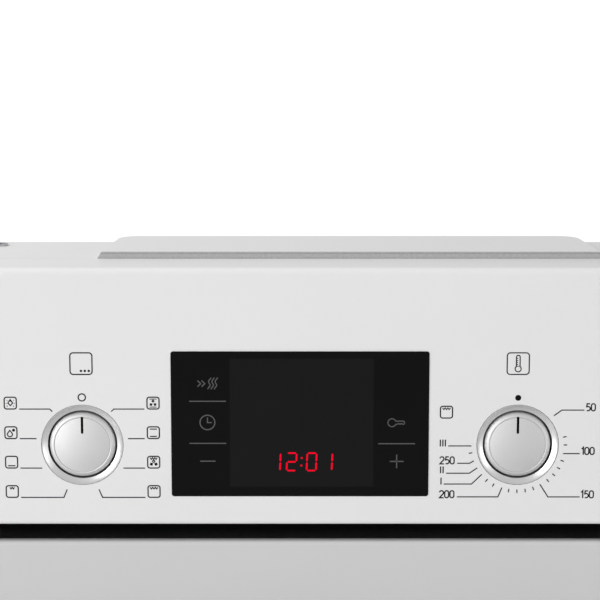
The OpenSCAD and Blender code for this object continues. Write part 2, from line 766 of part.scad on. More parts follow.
module hinge_receivers() color("gray") both_sides() {
    for (x = [hinge_x - 6, hinge_x + 4.8])
        block(x, x + 1.2, cav_y0 + 0.1, 70, 3, pivot_z + 14);
    block(hinge_x - 6, hinge_x + 6, cav_y0 + 0.1, 70, 3, 4.2);
    rod_x(hinge_x - 6, hinge_x + 6, 42, pivot_z - 6, 3);
}

control_panel();
display_glass();
display_module();
panel_carrier();
function_bezel();
temperature_bezel();
function_switch();
temperature_switch();
function_spindle();
temperature_spindle();
function_knob();
temperature_knob();
ledge_housing();
vent_cover();
panel_screws();
control_board();
chassis_base();
chassis_side_left();
chassis_side_right();
chassis_back();
top_cover();
rear_deck();
chassis_screws();
air_duct();
cooling_fan_housing();
cooling_fan();
cooling_motor();
front_frame();
cavity_liner();
insulation();
door_gasket();
fan_baffle();
convection_fan();
convection_motor();
ring_element();
grill_element();
bottom_element();
lamp_holder();
lamp_bulb();
lamp_lens();
temperature_probe();
rack_support_left();
rack_support_right();
wire_shelf();
baking_tray();
terminal_box();
door_front_strip();
door_outer_glass();
door_middle_glass();
door_inner_glass();
door_side_left();
door_side_right();
door_top_rail();
door_bottom_rail();
handle_bar();
handle_posts();
hinge_cases();
hinge_springs();
hinge_arms();
hinge_receivers();
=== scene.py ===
"""A built-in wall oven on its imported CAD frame: materials, printed marks, knobs, display and studio."""

import json
from math import cos, pi, radians, sin, tan

import bmesh
import bpy
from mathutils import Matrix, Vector


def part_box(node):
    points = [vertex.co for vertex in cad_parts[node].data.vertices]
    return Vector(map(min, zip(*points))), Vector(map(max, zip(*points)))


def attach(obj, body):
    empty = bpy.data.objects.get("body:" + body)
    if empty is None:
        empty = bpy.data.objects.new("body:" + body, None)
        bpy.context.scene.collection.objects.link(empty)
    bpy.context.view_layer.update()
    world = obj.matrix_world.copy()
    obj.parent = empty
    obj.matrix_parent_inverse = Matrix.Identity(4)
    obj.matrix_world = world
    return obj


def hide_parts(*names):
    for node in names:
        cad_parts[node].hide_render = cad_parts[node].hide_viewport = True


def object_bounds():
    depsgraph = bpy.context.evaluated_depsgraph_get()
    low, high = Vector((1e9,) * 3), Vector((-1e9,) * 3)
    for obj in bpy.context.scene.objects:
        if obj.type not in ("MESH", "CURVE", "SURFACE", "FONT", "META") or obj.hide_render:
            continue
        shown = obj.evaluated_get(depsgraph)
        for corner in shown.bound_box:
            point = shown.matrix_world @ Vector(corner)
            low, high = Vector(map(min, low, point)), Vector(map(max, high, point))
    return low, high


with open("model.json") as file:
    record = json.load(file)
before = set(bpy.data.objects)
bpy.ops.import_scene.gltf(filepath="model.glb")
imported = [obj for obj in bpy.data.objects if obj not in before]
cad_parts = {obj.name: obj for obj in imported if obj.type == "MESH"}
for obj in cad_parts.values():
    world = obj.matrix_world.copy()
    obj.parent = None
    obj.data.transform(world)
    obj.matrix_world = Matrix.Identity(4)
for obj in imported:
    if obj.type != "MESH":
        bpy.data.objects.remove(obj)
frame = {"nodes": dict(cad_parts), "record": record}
cad_box = [list(corner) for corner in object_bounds()]
NODES = frame["nodes"]

MM = 0.001
OVEN = "oven"

# ---- Places, all from the frame ----

panel_low, panel_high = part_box("control_panel")
PANEL_Y = panel_low.y
PANEL_TOP = panel_high.z
glass_low, glass_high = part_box("display_glass")
GLASS_Y = glass_low.y
GLASS_MID = (glass_low + glass_high) / 2


def middle(node):
    """The middle of a CAD node's box."""
    low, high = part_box(node)
    return (low + high) / 2


LEFT_KNOB = middle("function_bezel")
RIGHT_KNOB = middle("temperature_bezel")


# ---- Material helpers ----

class Surface:
    """One node material with a Principled shader and small helpers to wire detail into it."""

    def __init__(self, name, color, roughness, metallic=0.0, **sockets):
        self.mat = bpy.data.materials.new(name)
        self.mat.use_nodes = True
        self.tree = self.mat.node_tree
        self.shader = self.tree.nodes["Principled BSDF"]
        self.color = (*color, 1.0)
        self.set("Base Color", self.color)
        self.set("Roughness", roughness)
        self.set("Metallic", metallic)
        self.roughness = roughness
        for key, value in sockets.items():
            self.set(key.replace("_", " "), value)
        self.coords = self.add("ShaderNodeTexCoord").outputs["Object"]
        self.bump_normal = None

    def set(self, socket, value):
        self.shader.inputs[socket].default_value = value

    def add(self, kind, **props):
        node = self.tree.nodes.new(kind)
        for key, value in props.items():
            setattr(node, key, value)
        return node

    def link(self, a, b):
        self.tree.links.new(a, b)

    def scaled(self, scale):
        """Object coordinates stretched by a factor on each axis."""
        mapping = self.add("ShaderNodeMapping")
        mapping.inputs["Scale"].default_value = scale
        self.link(self.coords, mapping.inputs["Vector"])
        return mapping.outputs["Vector"]

    def noise(self, scale=100.0, detail=3.0, stretch=(1, 1, 1), rough=0.55):
        node = self.add("ShaderNodeTexNoise")
        node.inputs["Scale"].default_value = scale
        node.inputs["Detail"].default_value = detail
        node.inputs["Roughness"].default_value = rough
        self.link(self.scaled(stretch), node.inputs["Vector"])
        return node.outputs["Fac"]

    def cells(self, scale=100.0, output="Color"):
        node = self.add("ShaderNodeTexVoronoi")
        node.inputs["Scale"].default_value = scale
        self.link(self.coords, node.inputs["Vector"])
        return node.outputs[output]

    def waves(self, scale, direction="Z", distortion=0.0):
        node = self.add("ShaderNodeTexWave", bands_direction=direction)
        node.inputs["Scale"].default_value = scale
        node.inputs["Distortion"].default_value = distortion
        self.link(self.coords, node.inputs["Vector"])
        return node.outputs["Fac"]

    def ramp(self, source, stops):
        """A colour ramp over (place, grey or colour) stops."""
        node = self.add("ShaderNodeValToRGB")
        elements = node.color_ramp.elements
        while len(elements) < len(stops):
            elements.new(0.5)
        for element, (place, value) in zip(elements, stops):
            element.position = place
            color = value if hasattr(value, "__len__") else (value,) * 3
            element.color = (*color[:3], 1.0)
        self.link(source, node.inputs["Fac"])
        return node.outputs["Color"]

    def tint(self, source, spread, low=0.3, high=0.7):
        """The base colour varies by this share as the source goes from low to high."""
        dark = [c * (1 - spread) for c in self.color[:3]]
        pale = [min(1.0, c * (1 + spread)) for c in self.color[:3]]
        self.link(self.ramp(source, [(low, dark), (high, pale)]), self.shader.inputs["Base Color"])
        return self

    def gloss(self, source, spread, low=0.3, high=0.7):
        stops = [(low, max(0.02, self.roughness - spread)), (high, self.roughness + spread)]
        self.link(self.ramp(source, stops), self.shader.inputs["Roughness"])
        return self

    def bump(self, source, depth, strength=1.0):
        """Adds height detail, depth in millimetres, on top of any earlier bump."""
        node = self.add("ShaderNodeBump")
        node.inputs["Strength"].default_value = strength
        node.inputs["Distance"].default_value = depth * MM
        self.link(source, node.inputs["Height"])
        if self.bump_normal:
            self.link(self.bump_normal, node.inputs["Normal"])
        self.bump_normal = node.outputs["Normal"]
        self.link(self.bump_normal, self.shader.inputs["Normal"])
        return self


def white_enamel(name, color, roughness):
    s = Surface(name, color, roughness, Coat_Weight=0.25, Coat_Roughness=0.25)
    s.tint(s.noise(14, 4), 0.012).gloss(s.noise(60, 3), 0.03)
    return s.bump(s.noise(700, 2), 0.012, 0.5).bump(s.noise(90, 2), 0.02, 0.4).mat


def turned_metal(name, color, roughness):
    """Satin metal with fine concentric marks about the piece's own Y axis."""
    s = Surface(name, color, roughness, 1.0)
    split = s.add("ShaderNodeSeparateXYZ")
    s.link(s.coords, split.inputs["Vector"])
    flat = s.add("ShaderNodeCombineXYZ")
    s.link(split.outputs["X"], flat.inputs["X"])
    s.link(split.outputs["Z"], flat.inputs["Y"])
    length = s.add("ShaderNodeVectorMath", operation="LENGTH")
    s.link(flat.outputs["Vector"], length.inputs[0])
    rings = s.add("ShaderNodeTexNoise", noise_dimensions="1D")
    rings.inputs["Scale"].default_value = 6000
    rings.inputs["Detail"].default_value = 2
    s.link(length.outputs["Value"], rings.inputs["W"])
    s.tint(rings.outputs["Fac"], 0.04).gloss(s.noise(200, 2), 0.03)
    return s.bump(rings.outputs["Fac"], 0.004, 0.35).mat


def brushed_metal(name, color, roughness, stretch):
    """Metal with a straight grain: stretch is small along the grain."""
    s = Surface(name, color, roughness, 1.0, Anisotropic=0.4)
    grain = s.noise(1500, 3, stretch)
    s.tint(grain, 0.05).gloss(grain, 0.06)
    return s.bump(grain, 0.006, 0.3).mat


def galvanised(name):
    """Zinc-coated sheet: pale crystals of slightly different grey and gloss."""
    s = Surface(name, (0.56, 0.575, 0.59), 0.42, 0.85)
    spangle = s.cells(55)
    s.tint(spangle, 0.09, 0.1, 0.9).gloss(spangle, 0.07, 0.1, 0.9)
    return s.bump(s.noise(300, 3), 0.01, 0.3).mat


def vitreous(name):
    """Near-black oven enamel with fine pale speckles."""
    s = Surface(name, (0.022, 0.023, 0.029), 0.2, Coat_Weight=0.6, Coat_Roughness=0.08)
    speckle = s.ramp(s.cells(900, "Distance"), [(0.0, (0.34, 0.35, 0.38)), (0.13, s.color)])
    s.link(speckle, s.shader.inputs["Base Color"])
    s.gloss(s.noise(120, 3), 0.05)
    return s.bump(s.noise(160, 2), 0.03, 0.4).mat


def moulded(name, color, roughness=0.5):
    s = Surface(name, color, roughness)
    s.tint(s.noise(30, 3), 0.06).gloss(s.noise(400, 2), 0.06)
    return s.bump(s.noise(1800, 2), 0.02, 0.5).mat


def lacquered(name, color, roughness, metallic):
    s = Surface(name, color, roughness, metallic)
    s.tint(s.noise(45, 4), 0.12).gloss(s.noise(220, 3), 0.07)
    return s.bump(s.noise(600, 3), 0.01, 0.4).mat


def dark_glass(name, color, roughness=0.07):
    s = Surface(name, color, roughness, IOR=1.5, Coat_Weight=0.3, Coat_Roughness=0.03)
    s.tint(s.noise(8, 2), 0.08).gloss(s.noise(25, 3), 0.015)
    return s.bump(s.noise(12, 2), 0.01, 0.15).mat


def matt_black(name, color, roughness=0.15):
    """Coated display glass that hardly mirrors the room."""
    s = Surface(name, color, roughness, Specular_IOR_Level=0.06)
    s.tint(s.noise(40, 3), 0.06).gloss(s.noise(60, 2), 0.02)
    return s.bump(s.noise(20, 2), 0.006, 0.15).mat


def clear_glass(name, color, ribs=False):
    s = Surface(name, color, 0.03, IOR=1.5, Transmission_Weight=1.0)
    s.gloss(s.noise(30, 3), 0.012).tint(s.noise(10, 2), 0.01)
    return s.bump(s.waves(260, "Y") if ribs else s.noise(12, 2), 0.3 if ribs else 0.01, 0.3).mat


def heater_sheath(name):
    s = Surface(name, (0.06, 0.058, 0.056), 0.55, 0.6)
    blotch = s.noise(70, 5)
    s.tint(blotch, 0.35).gloss(blotch, 0.1)
    return s.bump(s.noise(900, 3), 0.02, 0.5).mat


def braided_seal(name):
    s = Surface(name, (0.035, 0.035, 0.037), 0.75, Sheen_Weight=0.3)
    braid = s.waves(420, "DIAGONAL", 1.5)
    s.tint(braid, 0.4, 0.2, 0.8)
    return s.bump(braid, 0.25, 0.8).mat


def glass_wool(name):
    s = Surface(name, (0.62, 0.52, 0.28), 0.95, Sheen_Weight=0.4)
    fibre = s.noise(220, 6, (1, 1, 4), 0.7)
    s.tint(fibre, 0.3)
    return s.bump(fibre, 2.0, 0.8).mat


def circuit_board(name):
    s = Surface(name, (0.02, 0.16, 0.07), 0.4)
    s.tint(s.cells(420), 0.35, 0.2, 0.8).gloss(s.noise(300, 2), 0.08)
    return s.bump(s.cells(420, "Distance"), 0.05, 0.4).mat


def ink(name, color, roughness=0.7, shine=0.15):
    s = Surface(name, color, roughness, Specular_IOR_Level=shine)
    s.tint(s.noise(900, 2), 0.08)
    return s.bump(s.noise(2500, 2), 0.004, 0.4).mat


def glowing(name, color, strength):
    s = Surface(name, tuple(c * 0.05 for c in color), 0.6, Specular_IOR_Level=0.05)
    glow = s.ramp(s.noise(700, 2), [(0.2, [c * 0.93 for c in color]), (0.8, color)])
    s.link(glow, s.shader.inputs["Emission Color"])
    s.set("Emission Strength", strength)
    return s.mat


FINISHES = {
    "front_enamel": white_enamel("front_enamel", (0.80, 0.80, 0.80), 0.42),
    "cover_paint": white_enamel("cover_paint", (0.78, 0.78, 0.78), 0.5),
    "knob_metal": turned_metal("knob_metal", (0.81, 0.81, 0.81), 0.33),
    "black_glass": dark_glass("black_glass", (0.006, 0.006, 0.0065)),
    "clear_glass": clear_glass("clear_glass", (0.9, 0.96, 0.94)),
    "lamp_glass": clear_glass("lamp_glass", (0.97, 0.98, 0.97), ribs=True),
    "galvanised": galvanised("galvanised"),
    "enamel": vitreous("enamel"),
    "chrome_wire": brushed_metal("chrome_wire", (0.86, 0.86, 0.88), 0.12, (1, 0.1, 1)),
    "heater": heater_sheath("heater"),
    "aluminium": brushed_metal("aluminium", (0.82, 0.82, 0.83), 0.32, (0.02, 1, 1)),
    "motor_metal": lacquered("motor_metal", (0.16, 0.17, 0.19), 0.4, 0.7),
    "seal": braided_seal("seal"),
    "black_plastic": moulded("black_plastic", (0.012, 0.012, 0.013), 0.55),
    "pale_plastic": moulded("pale_plastic", (0.72, 0.7, 0.62)),
    "board": circuit_board("board"),
    "wool": glass_wool("wool"),
    "hinge_steel": lacquered("hinge_steel", (0.42, 0.43, 0.45), 0.38, 0.95),
    "screw_steel": lacquered("screw_steel", (0.5, 0.5, 0.52), 0.3, 1.0),
}
INK = ink("print_ink", (0.001, 0.001, 0.001))
SOFT_INK = ink("line_ink", (0.004, 0.004, 0.0042))
KEY_PRINT = ink("key_print", (0.1, 0.1, 0.103), 0.4)
SCREEN = matt_black("screen_tint", (0.0098, 0.0098, 0.0102))
# Pale ink for a painted highlight line around the display glass
DISPLAY_RIM_HIGHLIGHT = ink("display_rim_highlight", (0.85, 0.85, 0.85), 0.3, 0.5)
# Vent cover front: painted shade on its face, and a darker painted shadow line below its top
VENT_FRONT_SHADE = ink("vent_front_shade", (0.46, 0.46, 0.46), 0.6)
VENT_SHADOW_LINE = ink("vent_shadow_line", (0.36, 0.36, 0.36), 0.7)
POINTER = ink("pointer_black", (0.001, 0.001, 0.001), 0.8, 0.05)
LED = glowing("clock_red", (0.95, 0.0, 0.02), 1.0)

SPECIAL = {
    "display_glass": matt_black("display_black", (0.0052, 0.0052, 0.0055)),
    # Door strip: a darker copy of the front enamel, painted shade for the greyer light on the door's front
    "door_front_strip": white_enamel("door_enamel_painted_shade", (0.62, 0.62, 0.62), 0.42),
}

for entry in frame["record"]["subparts"]:
    mesh = NODES[entry["node"]].data
    mesh.materials.clear()
    mesh.materials.append(SPECIAL.get(entry["node"], FINISHES[entry["material_slot"]]))


# ---- Mesh helpers ----

SHARP_EDGE = radians(25)


def new_piece(name, bm, material, body, place=(0, 0, 0), smooth=False):
    """A mesh object from bm that rides on a body, smooth except at sharp edges if asked."""
    bmesh.ops.recalc_face_normals(bm, faces=bm.faces)
    mesh = bpy.data.meshes.new(name)
    bm.to_mesh(mesh)
    bm.free()
    piece = bpy.data.objects.new(name, mesh)
    bpy.context.scene.collection.objects.link(piece)
    piece.location = place
    mesh.materials.append(material)
    if smooth:
        mesh.set_sharp_from_angle(angle=SHARP_EDGE)
    for polygon in mesh.polygons:
        polygon.use_smooth = smooth
    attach(piece, body)
    return piece


def arc(cx, cz, r, start, end, steps=12):
    """Points on an arc. Angles are in degrees, clockwise from straight up."""
    return [
        (cx + r * sin(radians(start + (end - start) * i / steps)),
         cz + r * cos(radians(start + (end - start) * i / steps)))
        for i in range(steps + 1)
    ]


def ring_points(cx, cz, r, steps=28):
    return arc(cx, cz, r, 0, 360, steps)[:-1]


def rounded(cx, cz, w, h, r, steps=5):
    """The outline of a rectangle with round corners."""
    points = []
    for sx, sz, a in ((1, 1, 0), (1, -1, 90), (-1, -1, 180), (-1, 1, 270)):
        points += arc(cx + sx * (w / 2 - r), cz + sz * (h / 2 - r), r, a, a + 90, steps)
    return points


MITRE_FLOOR = 0.35  # keeps the mitre of a sharp bend short


class Print:
    """Flat marks on a plane that faces the user: closed prisms, drawn in millimetres from a centre."""

    def __init__(self, centre, y, thick=0.05):
        self.bm = bmesh.new()
        self.centre = centre
        self.front = y - thick * MM
        self.back = y

    def vert(self, x, z, y):
        return self.bm.verts.new((self.centre.x + x * MM, y, self.centre.z + z * MM))

    def fill(self, points):
        """A filled outline."""
        front = [self.vert(x, z, self.front) for x, z in points]
        back = [self.vert(x, z, self.back) for x, z in points]
        self.bm.faces.new(front)
        self.bm.faces.new(back[::-1])
        for i in range(len(points)):
            j = (i + 1) % len(points)
            self.bm.faces.new((front[i], back[i], back[j], front[j]))

    def stroke(self, points, width, closed=False):
        """A line of constant width along the points, with mitred corners."""
        points = [Vector(point) for point in points]
        count = len(points)
        sides = ([], [])
        for i, point in enumerate(points):
            before = points[i - 1] if closed or i else None
            after = points[(i + 1) % count] if closed or i < count - 1 else None
            into = (point - before).normalized() if before is not None else None
            out = (after - point).normalized() if after is not None else None
            into, out = into or out, out or into
            along = (into + out).normalized()
            across = Vector((-along.y, along.x))
            reach = width / 2 / max(MITRE_FLOOR, across.dot(Vector((-out.y, out.x))))
            for side, sign in zip(sides, (1, -1)):
                side.append(point + across * reach * sign)
        quads = [[self.vert(p.x, p.y, y) for p in side] for side in sides for y in (self.front, self.back)]
        left_front, left_back, right_front, right_back = quads
        for i in range(count if closed else count - 1):
            j = (i + 1) % count
            for a, b in ((left_front, right_front), (right_front, right_back),
                         (right_back, left_back), (left_back, left_front)):
                self.bm.faces.new((a[i], b[i], b[j], a[j]))
        if not closed:
            for i in (0, -1):
                self.bm.faces.new((left_front[i], right_front[i], right_back[i], left_back[i]))

    def finish(self, name, material, body):
        return new_piece(name, self.bm, material, body)


def revolve(name, profile, centre, material, body, steps=160, closed=True):
    """A turned piece: profile is (radius, y) in millimetres, about the Y axis through centre."""
    bm = bmesh.new()
    rings = []
    for r, y in profile:
        if r == 0:
            rings.append([bm.verts.new((0, y * MM, 0))])
        else:
            rings.append([
                bm.verts.new((r * MM * cos(2 * pi * i / steps), y * MM, r * MM * sin(2 * pi * i / steps)))
                for i in range(steps)
            ])
    pairs = list(zip(rings, rings[1:]))
    if closed and len(rings[0]) > 1:
        pairs.append((rings[-1], rings[0]))
    for a, b in pairs:
        for i in range(steps):
            j = (i + 1) % steps
            corners = [a[i % len(a)], a[j % len(a)], b[j % len(b)], b[i % len(b)]]
            unique = list(dict.fromkeys(corners))
            if len(unique) > 2:
                bm.faces.new(unique)
    return new_piece(name, bm, material, body, centre, smooth=True)


# ---- Knobs and bezels ----

BEZEL_BORE = 12.75   # radius the knob passes through
FUNNEL_BEND = 13.7   # radius where the funnel grows steeper
SPINDLE_BORE = 3.05  # radius of the hole in the knob's hub
HUB = 5.5            # radius of the knob's hub
CAP_WALL = 1.5       # thickness of the knob's rim
CAP_METAL = turned_metal("knob_metal_cap", (0.74, 0.74, 0.74), 0.55)
POINTER_LOW, POINTER_HIGH, POINTER_HALF = 4.25, 10.55, 0.46


def make_bezel(name, node, centre):
    """A turned ring with a fine outer lip and a shallow funnel down to a wide bore."""
    low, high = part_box(node)
    front, back = low.y / MM, high.y / MM
    outer = (high.x - low.x) / 2 / MM - 0.1
    profile = [
        (outer, back), (outer, front + 0.15), (outer - 0.08, front), (outer - 0.22, front),
        (outer - 0.32, front + 0.1), (FUNNEL_BEND, front + 0.55), (BEZEL_BORE + 0.1, front + 0.95),
        (BEZEL_BORE, front + 1.1), (BEZEL_BORE, back),
    ]
    piece = revolve(name, profile, (centre.x, 0, centre.z), FINISHES["knob_metal"], OVEN)
    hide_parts(node)


def make_knob(name, node, body, centre):
    """A hollow turned cap: chamfered rim, fine ring line, satin face, and an inlaid pointer."""
    low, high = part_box(node)
    front, back = low.y / MM, high.y / MM
    r = (high.x - low.x) / 2 / MM
    profile = [
        (0, front), (9.95, front), (10.1, front + 0.05), (10.18, front + 0.3), (10.32, front + 0.3),
        (10.4, front + 0.08), (10.6, front + 0.02), (11.0, front + 0.1), (11.5, front + 0.35),
        (11.9, front + 0.8), (r - 0.08, front + 1.5), (r, front + 2.3), (r, back - 0.3), (r - 0.3, back),
        (r - CAP_WALL, back), (r - CAP_WALL, front + 3), (HUB, front + 3), (HUB, back),
        (SPINDLE_BORE, back), (SPINDLE_BORE, front + CAP_WALL), (0, front + CAP_WALL),
    ]
    cap = revolve(name, profile, (centre.x, 0, centre.z), CAP_METAL, body, closed=False)
    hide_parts(node)
    pointer = Print(centre, low.y, 0.04)
    pointer.fill([
        (-POINTER_HALF, POINTER_LOW + 0.2), (-0.25, POINTER_LOW), (0.25, POINTER_LOW),
        (POINTER_HALF, POINTER_LOW + 0.2), (POINTER_HALF, POINTER_HIGH - 0.2), (0.25, POINTER_HIGH),
        (-0.25, POINTER_HIGH), (-POINTER_HALF, POINTER_HIGH - 0.2),
    ])
    pointer.finish(name + "_pointer", POINTER, body)


make_bezel("left_bezel_ring", "function_bezel", LEFT_KNOB)
make_bezel("right_bezel_ring", "temperature_bezel", RIGHT_KNOB)
make_knob("left_knob_cap", "function_knob", "function_knob_body", LEFT_KNOB)
make_knob("right_knob_cap", "temperature_knob", "temperature_knob_body", RIGHT_KNOB)


# ---- Printed marks on the panel ----

# Widths of the printed lines, then the icon's size and its places about the knob, all in millimetres
LINE = 0.45
FINE = 0.4
THIN = 0.3
ICON = 4.42
ICON_ROUND = 0.85
ICON_X = 26.15
ICON_TOP = 15.75
ICON_STEP = 11.13
BASELINE = 2.24
HEAD_DROP = 35.2
HEAD_SIZE = 8.05
HEAD_ROUND = 1.15
MARK_ABOVE = 17.72


def drop(cx, cz, r, tip):
    """A drop outline: round below, pointed above."""
    return arc(cx, cz, r, 50, 310, 12) + [(cx, cz + tip)]


def fan_blades(p, cx, cz, r, angles=(0, 120, 240)):
    """Pointed fan blades of length r at these angles."""
    for angle in angles:
        mid = Vector((sin(radians(angle)), cos(radians(angle))))
        side = Vector((mid.y, -mid.x))
        bulge = side * r * 0.46
        shape = [mid * r * 0.15, mid * r * 0.65 + bulge, mid * r * 1.1, mid * r * 0.65 - bulge]
        p.fill([(v.x + cx, v.y + cz) for v in shape])


def zigzag(p, cx, cz, half, teeth):
    """A hanging zigzag: the grill element."""
    step = half / teeth
    points = [(cx - half + step * i, cz + (-0.34 if i % 2 else 0.3)) for i in range(2 * teeth + 1)]
    p.stroke(points, THIN * 1.2)


def icon_lamp(p, cx, cz):
    bulb = [(cx, cz + 1.3), (cx + 0.88, cz + 0.05), (cx, cz - 0.95), (cx - 0.88, cz + 0.05)]
    p.stroke(bulb, FINE, closed=True)
    p.fill([(cx, cz + 1.5), (cx + 0.6, cz + 0.6), (cx - 0.6, cz + 0.6)])
    for sx in (-1, 1):
        p.stroke([(cx + sx * 1.3, cz - 0.1), (cx + sx * 1.6, cz - 0.1)], THIN)
        p.stroke([(cx + sx * 1.0, cz - 1.0), (cx + sx * 1.3, cz - 1.3)], THIN)
        p.stroke([(cx + sx * 1.05, cz + 0.9), (cx + sx * 1.3, cz + 1.15)], THIN * 0.8)


def icon_defrost(p, cx, cz):
    p.stroke(drop(cx - 0.38, cz - 0.62, 0.92, 1.5), FINE, closed=True)
    p.fill(ring_points(cx + 0.98, cz + 0.95, 0.55, 12))


def icon_bottom(p, cx, cz):
    p.stroke([(cx - 1.35, cz - 1.35), (cx + 1.35, cz - 1.35)], FINE)


def icon_top_bottom(p, cx, cz):
    for dz in (-1.4, 1.35):
        p.stroke([(cx - 1.3, cz + dz), (cx + 1.3, cz + dz)], FINE)


def icon_small_grill(p, cx, cz):
    zigzag(p, cx, cz + 1.3, 0.85, 2)


def icon_wide_grill(p, cx, cz):
    zigzag(p, cx, cz + 1.3, 1.45, 3)


def icon_fan_bars(p, cx, cz):
    fan_blades(p, cx, cz - 0.1, 1.35)
    for dz in (-1.5, 1.5):
        p.stroke([(cx - 1.3, cz + dz), (cx + 1.3, cz + dz)], THIN)


def icon_fan_grill(p, cx, cz):
    fan_blades(p, cx, cz - 0.3, 1.5, (118, 242))
    p.stroke(ring_points(cx, cz + 0.35, 0.4, 12), FINE, closed=True)
    zigzag(p, cx, cz + 1.4, 1.3, 3)


def boxed(p, draw, cx, cz):
    """A symbol in its rounded square."""
    p.stroke(rounded(cx, cz, ICON, ICON, ICON_ROUND), LINE, closed=True)
    draw(p, cx, cz)


def function_marks():
    """Eight function symbols, their leader lines, and the zero ring and tray symbol above."""
    p = Print(LEFT_KNOB, PANEL_Y)
    left = (icon_lamp, icon_defrost, icon_bottom, icon_small_grill)
    right = (icon_fan_bars, icon_top_bottom, icon_fan_grill, icon_wide_grill)
    inner = (11.75, 16.8, 14.95, 7.15)
    for row in range(4):
        z = ICON_TOP - ICON_STEP * row
        boxed(p, left[row], -ICON_X, z)
        boxed(p, right[row], ICON_X, z)
        for sign in (-1, 1):
            line = [(sign * 22.95, z - BASELINE), (sign * inner[row], z - BASELINE)]
            if row == 0:
                line.append((sign * 10.8, z - BASELINE - 0.95))
            if row == 3:
                line.append((sign * 5.85, z - BASELINE + 3.05))
            p.stroke(line, FINE)
    p.finish("function_print", SOFT_INK, OVEN)

    dark = Print(LEFT_KNOB, PANEL_Y)
    top = (PANEL_TOP - LEFT_KNOB.z) / MM - HEAD_DROP
    dark.stroke(ring_points(0.1, MARK_ABOVE + 0.16, 1.33), LINE, closed=True)
    dark.stroke(rounded(0, top, HEAD_SIZE, HEAD_SIZE, HEAD_ROUND), LINE, closed=True)
    for i in range(3):
        dark.fill(ring_points(-0.05 + 1.42 * i, top - 2.72, 0.46, 14))
    dark.finish("function_symbols", INK, OVEN)


DIGITS = {
    "0": [arc(0.85, 2.2, 0.8, -90, 90, 10) + arc(0.85, 0.85, 0.8, 90, 270, 10)],
    "1": [[(0.1, 2.35), (0.75, 3.05), (0.75, -0.05)]],
    "2": [arc(0.85, 2.2, 0.82, -80, 118, 12) + [(0.05, 0.05), (1.7, 0.05)]],
    "5": [[(1.55, 3.0), (0.4, 3.0), (0.25, 1.7)] + arc(0.82, 0.98, 0.88, -35, 215, 14)],
    "I": [[(0.3, 0.0), (0.3, 2.85)]],
}
WIDTHS = {"0": 2.15, "1": 1.35, "2": 2.1, "5": 2.1, "I": 1.03}
STROKE = 0.46
DIGIT_SCALE = 0.9


def write(p, text, x, z):
    """Writes numerals with plain strokes. x is the left end, z the foot."""
    for c in text:
        for line in DIGITS[c]:
            points = [(x + px * DIGIT_SCALE, z + pz * DIGIT_SCALE) for px, pz in line]
            p.stroke(points, STROKE, closed=c == "0")
        x += WIDTHS[c] * DIGIT_SCALE


TICK_START, TICK_END = 16.9, 18.2
LEADER_START = 17.1


def temperature_marks():
    """The dial: one degree of turn for each degree of heat, with three grill stages."""
    p = Print(RIGHT_KNOB, PANEL_Y)
    for degree in (80, 90, 110, 120, 130, 140, 160, 170, 180, 190, 210, 220, 260):
        a = radians(degree)
        p.stroke([(r * sin(a), r * cos(a)) for r in (TICK_START, TICK_END)], FINE)

    def leader(degree, *points):
        a = radians(degree)
        p.stroke([(LEADER_START * sin(a), LEADER_START * cos(a)), *points], FINE)

    leader(50, (16.0, 13.12), (24.2, 13.12))
    leader(101, (22.9, -3.27))
    leader(150.5, (11.5, -19.7), (23.2, -19.7))
    leader(199, (-7.0, -19.68), (-22.1, -19.68))
    leader(229.5, (-16.8, -14.8), (-27.0, -14.8))
    leader(239.5, (-17.65, -10.7), (-26.2, -10.7))
    leader(249.5, (-17.6, -6.93), (-22.2, -6.93))
    p.stroke([(-17.0, -0.37), (-25.5, -0.37)], FINE)
    for text, x, z in (
        ("50", 24.85, 12.8), ("100", 23.5, -3.65), ("150", 23.65, -20.1), ("200", -28.55, -20.05),
        ("250", -28.55, -7.2), ("I", -28.3, -14.95), ("II", -28.5, -10.7), ("III", -28.7, -0.55),
    ):
        write(p, text, x, z)
    boxed(p, icon_wide_grill, -26.3, 12.35)
    p.finish("temperature_print", SOFT_INK, OVEN)

    dark = Print(RIGHT_KNOB, PANEL_Y)
    top = (PANEL_TOP - RIGHT_KNOB.z) / MM - HEAD_DROP
    dark.fill(ring_points(-0.1, MARK_ABOVE, 1.1))
    dark.stroke(rounded(-0.3, top, HEAD_SIZE, HEAD_SIZE, HEAD_ROUND), 0.42, closed=True)
    # Thermometer: a narrow tube on a bulb, with scale marks
    outline = arc(-0.3, top + 2.45, 0.66, -90, 90, 10) + arc(-0.3, top - 1.95, 1.1, 38, 322, 16)
    dark.stroke(outline, FINE, closed=True)
    for i in range(4):
        z = top + 1.95 - 0.75 * i
        dark.stroke([(-0.85, z), (-0.35, z)], THIN)
    dark.stroke([(-0.75, top - 0.95), (0.15, top - 0.95)], 0.25)
    dark.finish("temperature_symbols", INK, OVEN)


function_marks()
temperature_marks()


# ---- Front of the vent cover ----

VENT_LEAN = 1.7      # how far each end leans inwards over the height
SHADOW_LINE_LOW = 1.0      # the painted shadow line's lower and upper edge, below the cover's top
SHADOW_LINE_HIGH = 0.46


